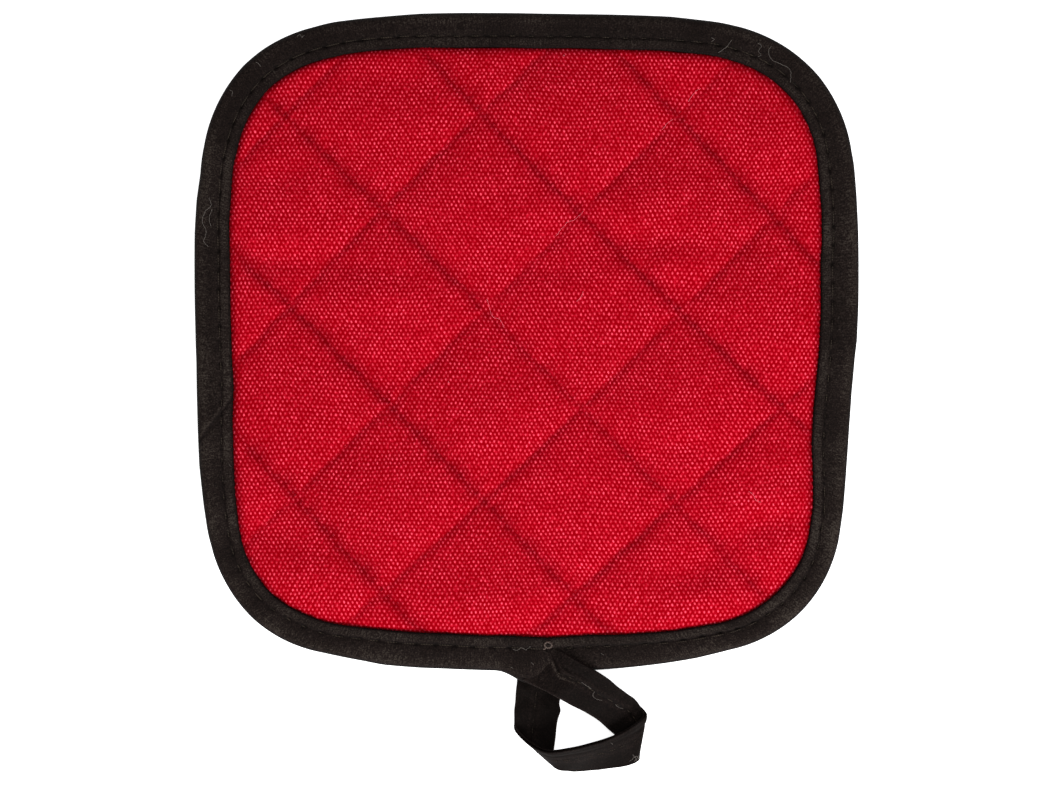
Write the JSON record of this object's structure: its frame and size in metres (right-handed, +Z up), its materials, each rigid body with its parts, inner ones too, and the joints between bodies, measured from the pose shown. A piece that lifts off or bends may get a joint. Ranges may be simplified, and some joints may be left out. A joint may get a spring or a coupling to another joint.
{
  "type": "pot holder",
  "caption": "Square quilted pot holder with rounded corners, a bound edge and a twisted hanging loop of the same tape.",
  "frame": {"origin": "centre of the bounding box, loop included, on the surface that the pot holder lies on", "axes": "+Z up from that surface, +Y from the loop towards the opposite edge, +X to the right seen from above"},
  "size_m": [0.1793, 0.2064, 0.0087],
  "materials": {
    "red_cotton_canvas": "matte plain weave",
    "black_cotton_tape": "matte twill tape"
  },
  "bodies": {
    "root": {"quilted_pad": "red_cotton_canvas", "edge_binding": "black_cotton_tape", "hanging_loop": "black_cotton_tape"}
  },
  "joints": []
}
